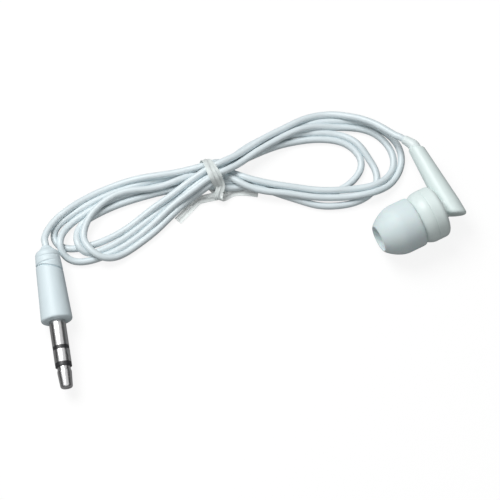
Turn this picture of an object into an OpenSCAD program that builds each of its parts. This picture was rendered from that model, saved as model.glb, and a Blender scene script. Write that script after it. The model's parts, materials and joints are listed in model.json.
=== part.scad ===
// One in-ear earphone on a thin cord. The cord is wound into a flat hank, held by a twist tie,
// and ends in a 3.5 mm plug. Sizes are in millimetres and z = 0 is the table.
// The earpiece lies with its barrel along X, mouth towards -X, and its stem along Y.

/* [Ear tip] */
// Widest diameter of the silicone tip
tip_d = 10.9; // [10.4:0.1:11.4]
// Length from the mouth to the rim of the skirt
tip_l = 8.8; // [8.2:0.1:9.2]
// Diameter of the open mouth
mouth_d = 5.4; // [5.2:0.1:6.0]
// Length of the curved nose
nose_l = 5.2; // [4.6:0.1:6.0]
// Wall of the flange
tip_wall = 0.5; // [0.4:0.05:0.6]
// Wall of the core tube
core_wall = 0.5; // [0.4:0.05:0.6]
// Radial play of the core over the nozzle lip
core_fit = 0.05; // [0.02:0.01:0.09]
// Gap between the core's end and the housing shoulder
core_gap = 0.2; // [0.1:0.05:0.4]

/* [Nozzle] */
// Diameter of the sound bore
bore_d = 3.0; // [2.6:0.1:3.2]
// Wall of the nozzle tube
nozzle_wall = 0.45; // [0.35:0.05:0.55]
// Length of the nozzle in front of the shoulder
nozzle_l = 5.1; // [4.6:0.1:5.5]
// How far the nozzle's end lies behind the mouth
nozzle_recess = 2.3; // [2.0:0.1:2.6]
// Height of the lip that keeps the tip on
lip_h = 0.2; // [0.1:0.05:0.25]
// Length of that lip
lip_l = 1.0; // [0.6:0.1:1.5]
// Thickness of the mesh disc
mesh_t = 0.12; // [0.08:0.02:0.2]
// Pitch of the holes in the mesh disc
mesh_pitch = 0.55; // [0.5:0.05:0.6]

/* [Housing] */
// Widest diameter of the housing
housing_d = 11.4; // [11.2:0.1:12.2]
// Thickness of the shoulder behind the nozzle
shoulder_t = 0.8; // [0.6:0.1:1.0]
// Depth of the front chamber
chamber_l = 1.3; // [1.0:0.1:1.6]
// Length of the front shell from shoulder to seam
front_l = 4.2; // [3.9:0.1:4.5]
// Wall of the spigot that joins the shells
spigot_t = 0.5; // [0.4:0.05:0.5]
// Length of that spigot
spigot_l = 1.0; // [0.6:0.1:1.2]
// Free room behind the driver
back_room = 0.6; // [0.6:0.1:1.0]
// Thickness of the rear wall
back_t = 0.7; // [0.6:0.1:0.9]
// Radius of the rear edge
edge_r = 1.1; // [0.6:0.1:1.4]

/* [Stem] */
// Diameter of the stem behind the barrel
stem_d = 4.9; // [4.6:0.1:5.2]
// Diameter of the stem at the cord's end
stem_top_d = 3.3; // [3.2:0.1:3.8]
// Length from the barrel's axis to the cord's end
stem_up = 14.6; // [13:0.1:16]
// Length from the barrel's axis to the free end
stem_down = 2.5; // [2.4:0.1:3.2]
// Slant of both ends
stem_skew = 18; // [0:1:20]
// How far the stem's axis lies behind the rear wall
stem_set = 2.4; // [2.35:0.05:2.5]
// Diameter of the pocket in the stem
pocket_d = 3.0; // [2.8:0.1:3.0]
// Height of the pocket's step above the barrel's axis
pocket_up = 5.2; // [4.8:0.1:6.0]
// Diameter of the window for the leads
window_d = 1.8; // [1.6:0.1:2.0]
// Length of the cord crimp
crimp_l = 1.5; // [1.0:0.1:2.0]

/* [Strain relief] */
// Diameter of the strain relief at the stem
relief_d = 2.3; // [2.1:0.1:2.4]
// Diameter of its free end
relief_end_d = 1.9; // [1.8:0.1:2.1]
// Depth of its root in the stem
relief_root = 2.0; // [1.5:0.1:3.0]
// Length of its free end
relief_l = 2.6; // [2.0:0.1:4.0]
// Angle that it leans towards the mouth side
relief_lean = 30; // [10:1:40]

/* [Driver] */
// Diameter of the driver
driver_d = 9.0; // [8.8:0.1:9.1]
// Radial gap around the driver
driver_gap = 0.15; // [0.05:0.01:0.15]
// Thickness of the foam gasket
gasket_t = 0.3; // [0.2:0.05:0.5]
// Thickness of the perforated cover
cover_t = 0.15; // [0.1:0.01:0.25]
// Length of the driver's frame
frame_l = 1.75; // [1.6:0.05:2.2]
// Thickness of the diaphragm film
film_t = 0.06; // [0.04:0.01:0.08]
// Height of the dome
dome_h = 0.3; // [0.2:0.02:0.34]
// Travel of the coil each way
coil_travel = 0.15; // [0.1:0.01:0.15]
// Winding length of the coil
coil_l = 1.14; // [0.9:0.02:1.3]
// Winding thickness of the coil
coil_t = 0.18; // [0.14:0.01:0.22]
// Radial gap on each side of the coil
coil_gap = 0.13; // [0.1:0.01:0.16]
// Diameter of the magnet
magnet_d = 4.4; // [4.2:0.1:4.5]
// Thickness of the magnet
magnet_t = 1.1; // [1.0:0.05:1.4]
// Thickness of the top plate
plate_t = 0.45; // [0.35:0.05:0.5]
// Wall of the yoke
yoke_wall = 0.45; // [0.4:0.01:0.5]
// Base of the yoke
yoke_base = 0.5; // [0.4:0.05:0.7]
// Thickness of the terminal board
board_t = 0.3; // [0.2:0.05:0.4]

/* [Plug] */
// Diameter of the sleeve contact
shank_d = 3.5; // [3.4:0.05:3.6]
// Exposed length of the sleeve contact
sleeve_l = 5.6; // [5.2:0.1:6.0]
// Exposed length of each insulator
insulator_l = 0.8; // [0.6:0.1:1.0]
// Exposed length of the ring contact
ring_l = 2.8; // [2.4:0.1:3.0]
// Length of the tip contact
point_l = 4.6; // [4.0:0.1:4.8]
// Length of the moulded body
grip_l = 11.9; // [11.2:0.1:13]
// Diameter of the body at its front
grip_d = 6.6; // [6.2:0.1:7.2]
// Diameter of the body at its back
grip_back_d = 5.6; // [5.2:0.1:6.0]
// Length of the collar behind the body
collar_l = 2.7; // [2.2:0.1:3.2]
// Diameter of the collar
collar_d = 5.4; // [4.8:0.1:5.5]
// Width of the grooves beside the collar
groove_w = 0.4; // [0.3:0.05:0.6]
// Length of the neck behind the collar
neck_l = 1.4; // [1.0:0.1:2.0]
// Diameter of the inner mould
mould_d = 4.0; // [3.9:0.1:4.2]

/* [Cord] */
// Diameter of the cord
cord_d = 1.5; // [1.4:0.05:1.5]
// Clearance of the cord in its bores
cord_fit = 0.03; // [0.01:0.01:0.05]
// Height of the hank
hank_h = 3.4; // [3.2:0.1:3.6]

/* [Twist tie] */
// Width of the strip
tie_w = 1.8; // [1.4:0.1:2.4]
// Thickness of the strip
tie_t = 0.3; // [0.2:0.02:0.36]
// Width of the wire in the strip
tie_wire_w = 0.4; // [0.3:0.05:0.6]
// Length of the long tail, which lies under the left loops
tail_long_l = 12; // [8:0.5:13]
// Length of the short tail, which lies under the right loops
tail_short_l = 9; // [5:0.5:10]
// Height of the twist beside the band
twist_h = 1.9; // [1:0.1:2.6]

/* [Hidden] */
$fn = 64;
wire_r = 0.14;          // thin leads inside the earpiece and the plug
slip = 0.01;            // radial clearance of pressed and bonded round seats
eps = 0.01;             // overshoot of cuts

// stations along the barrel, counted from the mouth
s_shoulder = nozzle_recess + nozzle_l;
s_core_end = s_shoulder - core_gap;
s_shelf = s_shoulder + shoulder_t + chamber_l;
s_cover = s_shelf + gasket_t;
s_frame = s_cover + cover_t;
s_frame_end = s_frame + frame_l;
s_film = s_frame + dome_h + coil_travel + 0.1;
s_coil = s_film + film_t;
s_plate = s_coil + coil_travel + 0.14;
s_magnet = s_plate + plate_t;
s_yoke_base = s_magnet + magnet_t;
s_board = s_yoke_base + yoke_base;
s_solder = s_board + board_t;
s_back_in = s_solder + back_room;
s_back = s_back_in + back_t;
s_stem = s_back + stem_set;
s_seam = s_shoulder + front_l;

// radii about the barrel's axis
housing_r = housing_d / 2;
bore_r = bore_d / 2;
mesh_seat = 0.25;                                   // step that the mesh disc sits on
neck_r = bore_r + nozzle_wall;
lip_r = neck_r + lip_h;
core_r = lip_r + core_fit;
core_out_r = core_r + core_wall;
lip_edge = 0.2;                                     // rounding of the mouth's edge
skirt_gap = 0.2;                                    // gap between skirt and housing
shoulder_r = min(tip_d / 2 - tip_wall - skirt_gap, housing_r - 0.4);
driver_r = driver_d / 2;
driver_pocket_r = driver_r + driver_gap;
spigot_r = driver_pocket_r + spigot_t;
plate_r = magnet_d / 2 + 0.1;
coil_in_r = plate_r + coil_gap;
coil_out_r = coil_in_r + coil_t;
yoke_in_r = coil_out_r + coil_gap;
yoke_r = yoke_in_r + yoke_wall;
film_in_r = coil_out_r + 0.1;
shelf_in_r = driver_r - 0.75;                       // the frame's shelf under the surround
shelf_out_r = driver_r - 0.4;
pad_out = 1.2;                                      // distance of the solder pads from the barrel's axis
bead_h = 0.4;

// stem and strain relief
stem_r = stem_d / 2;
stem_top_r = stem_top_d / 2;
pocket_low = -(stem_down - pocket_d / 2 * tan(stem_skew) - 0.8);
crimp_low = pocket_up - crimp_l;
jacket_low = crimp_low - 0.5;
relief_rise = stem_up + stem_top_r * tan(stem_skew) + 0.3;
relief_dy = relief_rise + relief_l * cos(relief_lean);

// the frame: the earpiece's box is centred on X and Y, and stands on z = 0
barrel_z = max(housing_r, tip_d / 2);
earpiece_back = s_stem + stem_r;
earpiece_top = relief_dy + relief_end_d / 2 * sin(relief_lean);
mouth_x = -earpiece_back / 2;
barrel_y = (housing_r - earpiece_top) / 2;
stem_x = mouth_x + s_stem;
relief_elbow = [stem_x, barrel_y + relief_rise, barrel_z];
relief_dir = [-sin(relief_lean), cos(relief_lean), 0];
relief_end = relief_elbow + relief_l * relief_dir;

// plug: origin at the middle of its front face, measured along its axis towards the point
plug_at = [-77.4, 8.8];
plug_turn = -107;
plug_dir = [cos(plug_turn), sin(plug_turn), 0];
grip_r = grip_d / 2;
plug_pos = [plug_at[0], plug_at[1], grip_r];
shank_r = shank_d / 2;
key_r = shank_r - 0.3;
insulator_r = shank_r - 0.01;
p_insulator = sleeve_l;
p_ring = p_insulator + insulator_l;
p_tip_insulator = p_ring + ring_l;
p_point = p_tip_insulator + insulator_l;
p_end = p_point + point_l;
p_collar = -grip_l - groove_w;
p_neck = p_collar - collar_l - groove_w;
p_rear = p_neck - neck_l;
rod_r = 0.34;
tip_sleeve_r = 0.54;
ring_tube_r = 0.80;
insulator_tube_r = 1.08;
sleeve_bore_r = insulator_tube_r + slip;
sleeve_tail_r = 1.45;
flange_r = mould_d / 2 + 0.3;
p_flange = -0.8;
flange_t = 0.8;
p_mould = p_flange - flange_t;
mould_l = 7.6;
p_mould_end = p_mould - mould_l;
mould_wall = 0.4;
p_sleeve_tail = p_mould - 1.6;
p_ring_tail = p_mould - 3.2;
p_tip_sleeve_tail = p_mould - 4.4;
p_rod_tail = p_mould - 5.2;
lug_t = 0.22;
sleeve_lug_r = sleeve_tail_r - 0.02;
// the plug's three solder beads: side of the axis and station along it
bead_ring = [ring_tube_r, p_ring_tail - 1.1];
bead_point = [lug_t / 2, p_rod_tail - 0.8];
bead_sleeve = [lug_t - sleeve_lug_r, p_sleeve_tail - 1.8];
plug_bead_h = 0.3;
p_jacket = p_mould_end - 0.1;
plug_rear = plug_pos + p_rear * plug_dir;

// the cord's route
cord_r = cord_d / 2;
ear_lead = concat([relief_end, relief_end + 0.4 * relief_dir, relief_end + 0.8 * relief_dir],
    [[4.8, 13.4, 5.2], [3.7, 15.8, 4.6], [2.5, 18.2, 3.9], [0.8, 20.6, 3.2], [-1.1, 22.5, 2.6]]);
plug_lead = concat([[-64, 31, 1.6], [-66.5, 30.6, 1.6], [-69, 29.5, 1.9], [-71, 28, 2.5], [-72.2, 26.4, 3.1]],
    [plug_rear - 0.8 * plug_dir, plug_rear - 0.4 * plug_dir, plug_rear]);
hank_outer = [[3.5, 19.5], [-0.5, 23.5], [-6.5, 26.5], [-13.5, 27.5], [-23, 27.5], [-30, 27.3], [-34, 27],
    [-38, 28], [-46, 30], [-53, 32], [-60, 32], [-65.5, 30.5], [-69, 28], [-70.5, 25], [-70.5, 22], [-68.5, 19.2],
    [-65, 17.5], [-60.5, 16.5], [-52, 17.5], [-46, 18.5], [-38, 20.5], [-34, 21], [-30.5, 19.8], [-26, 16],
    [-21.5, 11.5], [-18, 8], [-13.5, 5.2], [-10, 4.2], [-6, 3.8], [-1, 4.5], [2.5, 6], [4.8, 8.5], [5.7, 12], [5.2, 16]];
right_eye = [[-27.5, 23.5], [-22, 24], [-13.5, 22.5], [-7.5, 20], [-5, 17], [-4.5, 14], [-5.5, 11.2],
    [-8.5, 10], [-12, 10.8], [-16, 13], [-20, 16], [-24.5, 19.5]];
left_eye = [[-42, 24.2], [-48, 25.7], [-54.5, 26.8], [-60, 26.5], [-63, 25], [-63.5, 23.2], [-62, 22.2],
    [-57, 21.9], [-49, 22.8]];

// the tie's band, squared round the hank's waist
band_x = -33.8;
band_y = [20.0, 28.0];
tie_gap = 0.06;
band_in_z = tie_t + tie_gap;
band_top = hank_h + tie_gap + tie_t;
tail_long_turn = 201;
tail_long_y = 22.8;
tail_short_turn = -40;
tail_short_y = 21.9;
twist_y = band_y[0] - 0.4;
twist_turns = [35, -35];

/* ---- frames and shared shapes ---- */

module at_barrel(s = 0) translate([mouth_x + s, barrel_y, barrel_z]) rotate([0, 90, 0]) children();
module at_stem(rise = 0) translate([stem_x, barrel_y + rise, barrel_z]) rotate([-90, 0, 0]) children();
module at_plug(p = 0) translate(plug_pos + p * plug_dir) rotate([0, 0, plug_turn]) rotate([0, 90, 0]) children();

module ring(r_out, r_in, h) {
    difference() {
        cylinder(r = r_out, h = h);
        translate([0, 0, -eps]) cylinder(r = r_in, h = h + 2 * eps);
    }
}

// a round bar that comes straight out of the stem and turns towards the mouth side at a small knuckle
module bent_bar(low, r, end_r, extra = 0) {
    at_stem(low) cylinder(r = r, h = relief_rise - low);
    translate(relief_elbow) sphere(r = r + 0.08);
    translate(relief_elbow) rotate([0, 0, relief_lean]) rotate([-90, 0, 0])
        cylinder(r1 = r, r2 = end_r, h = relief_l + extra);
}

// points at rising fractions of one smooth curve through hand-placed points
function through(a, b, c, d, t) = 0.5 * (2 * b + (c - a) * t + (2 * a - 5 * b + 4 * c - d) * t * t
    + (3 * b - a - 3 * c + d) * t * t * t);
function open_curve(p, n) = [for (i = [0 : len(p) - 2], k = [0 : n - 1])
    through(p[max(i - 1, 0)], p[i], p[i + 1], p[min(i + 2, len(p) - 1)], k / n), p[len(p) - 1]];
function closed_curve(p, n) = [for (i = [0 : len(p) - 1], k = [0 : n - 1])
    through(p[(i + len(p) - 1) % len(p)], p[i], p[(i + 1) % len(p)], p[(i + 2) % len(p)], k / n)];
function unit(v) = v / norm(v);

// a tube along points: each ring stands square to the way between its neighbours
module tube(points, r, sides) {
    n = len(points);
    ways = [for (i = [0 : n - 1]) unit(points[min(i + 1, n - 1)] - points[max(i - 1, 0)])];
    rings = [for (i = [0 : n - 1])
        let (across = unit(cross(ways[i], [0, 0, 1])), up = cross(across, ways[i]))
        for (k = [0 : sides - 1]) points[i] + r * (cos(360 * k / sides) * across + sin(360 * k / sides) * up)];
    sides_faces = [for (i = [0 : n - 2], k = [0 : sides - 1])
        [i * sides + k, i * sides + (k + 1) % sides, (i + 1) * sides + (k + 1) % sides, (i + 1) * sides + k]];
    ends = [[for (k = [sides - 1 : -1 : 0]) k], [for (k = [0 : sides - 1]) (n - 1) * sides + k]];
    polyhedron(rings, concat(sides_faces, ends), convexity = 6);
}

// holes on rings round the axis, with six more on each ring
module hole_rings(count, pitch, r, h) {
    translate([0, 0, -eps]) cylinder(r = r, h = h + 2 * eps);
    for (i = [1 : count], k = [0 : 6 * i - 1])
        rotate(60 * k / i) translate([i * pitch, 0, -eps]) cylinder(r = r, h = h + 2 * eps);
}

module solder_bead(r, h) rotate_extrude() polygon([[0, 0], [r, 0], [r * 0.9, h * 0.5], [r * 0.5, h * 0.9], [0, h]]);

/* ---- earpiece ---- */

// radius of the tip's outer skin at s behind the mouth
function nose_r(s) = mouth_d / 2 + lip_edge
    + (tip_d / 2 - mouth_d / 2 - lip_edge) * pow(sin(90 * min(s / nose_l, 1)), 0.8);

module ear_tip() {
    steps = 14;
    web = 1.6;
    outer = [for (i = [0 : steps]) let (s = nose_l * i / steps) [nose_r(s), s]];
    inner = [for (i = [steps : -1 : 0]) let (s = web + 0.4 + (nose_l - web - 0.4) * i / steps) [nose_r(s) - tip_wall, s]];
    color([0.90, 0.93, 0.92]) at_barrel() rotate_extrude() polygon(concat(
        [[mouth_d / 2, lip_edge]], outer,
        [[tip_d / 2, tip_l - 0.15], [tip_d / 2 - 0.15, tip_l], [tip_d / 2 - tip_wall, tip_l - 0.1]],
        inner,
        [[core_out_r + 0.2, web], [core_out_r, web + 0.3], [core_out_r, s_core_end], [core_r, s_core_end],
        [core_r, nozzle_recess - 0.3]]));
}

module nozzle_mesh() {
    hole_r = 0.15;
    color([0.62, 0.63, 0.64]) at_barrel(nozzle_recess + slip) difference() {
        cylinder(r = bore_r + mesh_seat - slip, h = mesh_t);
        hole_rings(2, mesh_pitch, hole_r, mesh_t);
    }
}

module front_shell() {
    steps = 8;
    rise_from = tip_l + 0.1;
    rise_to = s_seam - 0.4;
    swell = [for (i = [0 : steps]) [shoulder_r + (housing_r - shoulder_r) * pow(sin(90 * i / steps), 0.8),
        rise_from + (rise_to - rise_from) * i / steps]];
    color([0.91, 0.94, 0.93]) at_barrel() rotate_extrude() polygon(concat(
        [[bore_r + mesh_seat, nozzle_recess], [lip_r - 0.1, nozzle_recess], [lip_r, nozzle_recess + 0.1],
        [lip_r, nozzle_recess + lip_l], [neck_r, nozzle_recess + lip_l + lip_h], [neck_r, s_shoulder],
        [shoulder_r - 0.4, s_shoulder], [shoulder_r, s_shoulder + 0.4]],
        swell,
        [[housing_r, s_seam], [spigot_r, s_seam], [spigot_r, s_seam + spigot_l], [driver_pocket_r, s_seam + spigot_l],
        [driver_pocket_r, s_shelf], [driver_r - 0.6, s_shelf], [bore_r, s_shoulder + shoulder_t],
        [bore_r, nozzle_recess + slip + mesh_t], [bore_r + mesh_seat, nozzle_recess + slip + mesh_t]]));
}

// the stem's outer shape: a tapered round bar between two slanted ends
module stem_bar() {
    reach = 2 * stem_r;
    lean = tan(stem_skew) * reach;
    intersection() {
        at_stem(-stem_down - 2) rotate_extrude() polygon([[0, 0], [stem_r, 0], [stem_r, stem_down + 2],
            [stem_top_r, stem_down + 2 + stem_up], [stem_top_r, stem_down + 5 + stem_up], [0, stem_down + 5 + stem_up]]);
        translate([stem_x, barrel_y, barrel_z - reach]) linear_extrude(2 * reach) polygon([
            [-reach, lean - stem_down], [reach, -lean - stem_down], [reach, stem_up - lean], [-reach, stem_up + lean]]);
    }
}

module rear_shell() {
    neck_out_r = 2.2;
    corner = [for (a = [0 : 15 : 90]) [housing_r - edge_r + edge_r * cos(a), s_back - edge_r + edge_r * sin(a)]];
    color([0.90, 0.94, 0.92]) difference() {
        union() {
            at_barrel() rotate_extrude() polygon(concat([[0, s_seam], [housing_r, s_seam]], corner, [[0, s_back]]));
            at_barrel(s_back - back_t) cylinder(r = neck_out_r, h = stem_set + back_t);
            stem_bar();
        }
        at_barrel(s_seam - eps) cylinder(r = spigot_r + slip, h = spigot_l + eps + slip);
        at_barrel(s_seam) cylinder(r = driver_pocket_r, h = s_back_in - s_seam);
        at_barrel(s_back_in - eps) cylinder(d = window_d, h = back_t + stem_set);
        at_stem(pocket_low) cylinder(d = pocket_d, h = pocket_up - pocket_low);
        at_stem(pocket_up - eps) cylinder(r = cord_r + cord_fit, h = stem_up);
        at_stem(stem_up - relief_root) cylinder(r = relief_d / 2 + slip, h = relief_root + 2);
    }
}

module strain_relief() {
    color([0.93, 0.94, 0.95]) difference() {
        bent_bar(stem_up - relief_root, relief_d / 2, relief_end_d / 2);
        bent_bar(pocket_up, cord_r + cord_fit, cord_r + cord_fit, 1);
    }
}

module front_gasket() color([0.25, 0.25, 0.26]) at_barrel(s_shelf) ring(driver_r, driver_r - 0.6, gasket_t);

module driver_cover() {
    hole_pitch = 1.3;
    hole_r = 0.35;
    color([0.70, 0.71, 0.72]) at_barrel(s_cover) difference() {
        cylinder(r = driver_r, h = cover_t);
        hole_rings(2, hole_pitch, hole_r, cover_t);
    }
}

module diaphragm_surround() {
    steps = 10;
    mid_r = (film_in_r + shelf_in_r) / 2;
    half_w = (shelf_in_r - film_in_r) / 2;
    roll_h = dome_h;
    top = [for (i = [0 : steps]) let (a = 180 * i / steps) [mid_r - half_w * cos(a), -roll_h * sin(a)]];
    under = [for (i = [steps : -1 : 0]) let (a = 180 * i / steps)
        [mid_r - (half_w - film_t) * cos(a), film_t - roll_h * sin(a)]];
    color([0.80, 0.78, 0.70]) at_barrel(s_film) rotate_extrude() polygon(concat(
        top, [[shelf_out_r - slip, 0], [shelf_out_r - slip, film_t]], under));
}

module diaphragm_dome() {
    steps = 8;
    edge = coil_in_r - 0.1;
    top = [for (i = [0 : steps]) let (a = 90 * i / steps) [edge * cos(a), -dome_h * sin(a)]];
    under = [for (i = [steps : -1 : 0]) let (a = 90 * i / steps) [(edge - film_t) * cos(a), film_t - dome_h * sin(a)]];
    color([0.80, 0.78, 0.70]) at_barrel(s_film) rotate_extrude() polygon(concat(
        [[coil_out_r, film_t], [coil_out_r, 0]], top, under));
}

module voice_coil() color([0.72, 0.42, 0.22]) at_barrel(s_coil) ring(coil_out_r, coil_in_r, coil_l);

module top_plate() color([0.66, 0.67, 0.69]) at_barrel(s_plate) cylinder(r = plate_r, h = plate_t);

module magnet() color([0.50, 0.51, 0.53]) at_barrel(s_magnet) cylinder(d = magnet_d, h = magnet_t);

module yoke() {
    color([0.70, 0.71, 0.73]) at_barrel(s_plate) difference() {
        cylinder(r = yoke_r, h = s_board - s_plate);
        translate([0, 0, -eps]) cylinder(r = yoke_in_r, h = s_yoke_base - s_plate + eps);
    }
}

module driver_frame() {
    shelf = s_film + film_t;
    plate = s_frame_end - 0.6;
    vent_r = (yoke_r + driver_r) / 2;
    color([0.16, 0.16, 0.17]) difference() {
        at_barrel() rotate_extrude() polygon([[shelf_out_r, s_frame], [driver_r, s_frame], [driver_r, s_frame_end],
            [yoke_r + slip, s_frame_end], [yoke_r + slip, plate], [shelf_in_r, plate], [shelf_in_r, shelf],
            [shelf_out_r, shelf]]);
        for (a = [45 : 90 : 315])
            at_barrel(plate - eps) rotate(a) translate([vent_r, 0, 0]) cylinder(r = 0.3, h = 0.6 + 2 * eps);
    }
}

module damping_ring() color([0.85, 0.84, 0.80]) at_barrel(s_frame_end) ring(driver_r - 0.1, yoke_r + 0.1, 0.15);

module terminal_board() color([0.15, 0.42, 0.24]) at_barrel(s_board) ring(yoke_r - 0.8, 0.4, board_t);

module solder_joints() {
    color([0.78, 0.79, 0.80]) for (side = [-1, 1])
        at_barrel(s_solder) translate([0, side * pad_out, 0]) solder_bead(0.5, bead_h);
}

// a lead from the jacket's end, through the window to its solder pad
module lead(side) {
    sink = 0.15;
    start = [stem_x, barrel_y + jacket_low, barrel_z + 0.3 * side];
    pad = [mouth_x + s_solder + bead_h - sink, barrel_y + side * pad_out, barrel_z];
    tube(open_curve([start, start - [0, 1.4, 0], [stem_x - 0.9, barrel_y + 0.4 * side, barrel_z + 0.4 * side],
        [mouth_x + s_back_in + 0.3, barrel_y + 0.3 * side, barrel_z + 0.3 * side], pad + [0.3, -0.3 * side, 0], pad], 4),
        wire_r, 6);
}

module signal_lead() color([0.70, 0.20, 0.15]) lead(1);
module ground_lead() color([0.75, 0.50, 0.25]) lead(-1);

module cord_crimp() color([0.72, 0.70, 0.62]) at_stem(crimp_low) ring(pocket_d / 2 - 0.1, cord_r + slip, crimp_l);

module cord_in_stem() color([0.93, 0.94, 0.96]) bent_bar(jacket_low, cord_r, cord_r);

/* ---- plug ---- */

module plug_grip() {
    round_r = 0.5;
    front = [for (a = [0 : 15 : 90]) [grip_r - round_r + round_r * cos(a), -round_r + round_r * sin(a)]];
    groove_r = collar_d / 2 - groove_w;
    color([0.90, 0.92, 0.95]) difference() {
        at_plug() rotate_extrude() polygon(concat([[0, p_rear], [cord_r + 0.45, p_rear], [cord_r + 0.75, p_neck],
            [groove_r, p_neck], [groove_r, p_neck + groove_w], [collar_d / 2 - 0.15, p_neck + groove_w],
            [collar_d / 2, p_collar], [groove_r, p_collar], [groove_r, p_collar + groove_w],
            [grip_back_d / 2, p_collar + groove_w]], front, [[0, 0]]));
        at_plug(p_rear - eps) cylinder(r = cord_r + cord_fit, h = p_mould_end - p_rear + 2 * eps);
        at_plug(p_mould_end) cylinder(r = mould_d / 2 + slip, h = mould_l + eps);
        at_plug(p_mould - slip) cylinder(r = flange_r + slip, h = flange_t + 2 * slip);
        at_plug(p_flange) cylinder(r = key_r + slip, h = 1);
    }
}

module plug_inner_mould() {
    bore = mould_d / 2 - mould_wall;
    color([0.86, 0.86, 0.84]) at_plug(p_mould_end) difference() {
        cylinder(d = mould_d, h = mould_l);
        translate([0, 0, 0.6]) cylinder(r = bore, h = mould_l);
        translate([0, 0, -eps]) cylinder(r = 0.6, h = 1);
    }
}

// a solder lug: a flat tab on one side of the axis, its face towards the axis or away from it
module lug(side_x, p_low, p_high, w) at_plug(p_low) translate([side_x, -w / 2, 0]) cube([lug_t, w, p_high - p_low]);

module plug_sleeve() {
    color([0.72, 0.72, 0.73]) {
        at_plug() rotate_extrude() polygon([[sleeve_bore_r, p_sleeve_tail], [sleeve_tail_r, p_sleeve_tail],
            [sleeve_tail_r, p_mould], [flange_r, p_mould], [flange_r, p_flange], [key_r, p_flange],
            [key_r, 0], [shank_r, 0], [shank_r, sleeve_l], [sleeve_bore_r, sleeve_l]]);
        lug(-sleeve_lug_r, p_sleeve_tail - 2.4, p_sleeve_tail + 0.3, 0.8);
    }
}

module sleeve_insulator() {
    color([0.06, 0.06, 0.07]) at_plug() rotate_extrude() polygon([[ring_tube_r + slip, p_sleeve_tail - 0.4],
        [insulator_tube_r, p_sleeve_tail - 0.4], [insulator_tube_r, p_insulator], [insulator_r, p_insulator],
        [insulator_r, p_ring], [ring_tube_r + slip, p_ring]]);
}

module plug_ring() {
    color([0.72, 0.72, 0.73]) {
        at_plug() rotate_extrude() polygon([[tip_sleeve_r + slip, p_ring_tail], [ring_tube_r, p_ring_tail],
            [ring_tube_r, p_ring], [shank_r, p_ring], [shank_r, p_tip_insulator], [tip_sleeve_r + slip, p_tip_insulator]]);
        lug(ring_tube_r - lug_t, p_ring_tail - 1.6, p_ring_tail + 0.3, 0.6);
    }
}

module point_insulator() {
    color([0.06, 0.06, 0.07]) at_plug() rotate_extrude() polygon([[rod_r + slip, p_tip_sleeve_tail],
        [tip_sleeve_r, p_tip_sleeve_tail], [tip_sleeve_r, p_tip_insulator], [insulator_r, p_tip_insulator],
        [insulator_r, p_point], [rod_r + slip, p_point]]);
}

module plug_point() {
    waist_r = 1.2;
    crown_r = 1.5;
    nose_end_r = 1.3;
    round_r = 0.7;
    nose = [for (a = [0 : 15 : 90]) [nose_end_r - round_r + round_r * cos(a), p_end - round_r + round_r * sin(a)]];
    color([0.72, 0.72, 0.73]) {
        at_plug() rotate_extrude() polygon(concat([[0, p_rod_tail], [rod_r, p_rod_tail], [rod_r, p_point],
            [waist_r, p_point], [waist_r, p_point + 0.6], [crown_r, p_point + 1.0]], nose, [[0, p_end]]));
        lug(-lug_t / 2, p_rod_tail - 1.4, p_rod_tail + 0.2, 0.9);
    }
}

module plug_solder() {
    color([0.78, 0.79, 0.80]) for (b = [bead_ring, bead_point, bead_sleeve])
        at_plug(b[1]) translate([b[0], 0, 0]) rotate([0, 90, 0]) solder_bead(0.28, plug_bead_h);
}

// a point in the plug: x off its axis in the plane of the lugs, p along it
function in_plug(x, p, y = 0) = plug_pos + p * plug_dir + [-y * sin(plug_turn), y * cos(plug_turn), -x];

module plug_signal_wire() {
    color([0.70, 0.20, 0.15]) tube(open_curve([in_plug(0.25, p_jacket, 0.1), in_plug(0.3, p_jacket + 0.7, 0.1),
        in_plug(bead_point[0] + plug_bead_h, bead_point[1] - 0.1, 0.1),
        in_plug(bead_point[0] + plug_bead_h + 0.25, bead_point[1] + 0.9, 0.1),
        in_plug(bead_ring[0] + plug_bead_h, bead_ring[1], 0)], 4), wire_r, 6);
}

module plug_ground_wire() {
    color([0.75, 0.50, 0.25]) tube(open_curve([in_plug(-0.25, p_jacket, -0.1), in_plug(-0.45, p_jacket + 0.8, -0.1),
        in_plug(-0.75, bead_sleeve[1] - 1.6, -0.1), in_plug(bead_sleeve[0] + plug_bead_h - 0.1, bead_sleeve[1], 0)], 4),
        wire_r, 6);
}

module cord_in_plug() color([0.93, 0.94, 0.96]) at_plug(p_rear) cylinder(r = cord_r, h = p_jacket - p_rear);

/* ---- cord and tie ---- */

module cord_lead_earpiece() color([0.92, 0.94, 0.97]) tube(open_curve(ear_lead, 3), cord_r, 8);
module cord_lead_plug() color([0.92, 0.94, 0.97]) tube(open_curve(plug_lead, 3), cord_r, 8);

module cord_hank() {
    color([0.92, 0.94, 0.97]) difference() {
        linear_extrude(hank_h) difference() {
            polygon(closed_curve(hank_outer, 3));
            polygon(closed_curve(right_eye, 3));
            polygon(closed_curve(left_eye, 3));
        }
        // room for the tie, and for the plug's collar beside the left loops
        translate([band_x - tie_w / 2 - tie_gap, band_y[0] - 5, -1]) difference() {
            cube([tie_w + 2 * tie_gap, band_y[1] - band_y[0] + 10, hank_h + 2]);
            translate([-1, 5 + tie_t + tie_gap, 1 + band_in_z])
                cube([tie_w + 2, band_y[1] - band_y[0] - 2 * (tie_t + tie_gap), hank_h]);
        }
        tail_room(tail_long_y, tail_long_turn, tail_long_l);
        tail_room(tail_short_y, tail_short_turn, tail_short_l);
        at_plug(p_rear - 1) cylinder(r = collar_d / 2 + 0.4, h = grip_l + 3);
    }
}

module tail(y, turn, l, w, depth)
    translate([band_x, y, 0]) rotate(turn) translate([0, -w / 2, 0]) cube([l, w, depth]);
module tail_room(y, turn, l) translate([0, 0, -1]) tail(y, turn, l + 0.5, tie_w + 2 * tie_gap, 1 + band_in_z);

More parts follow.
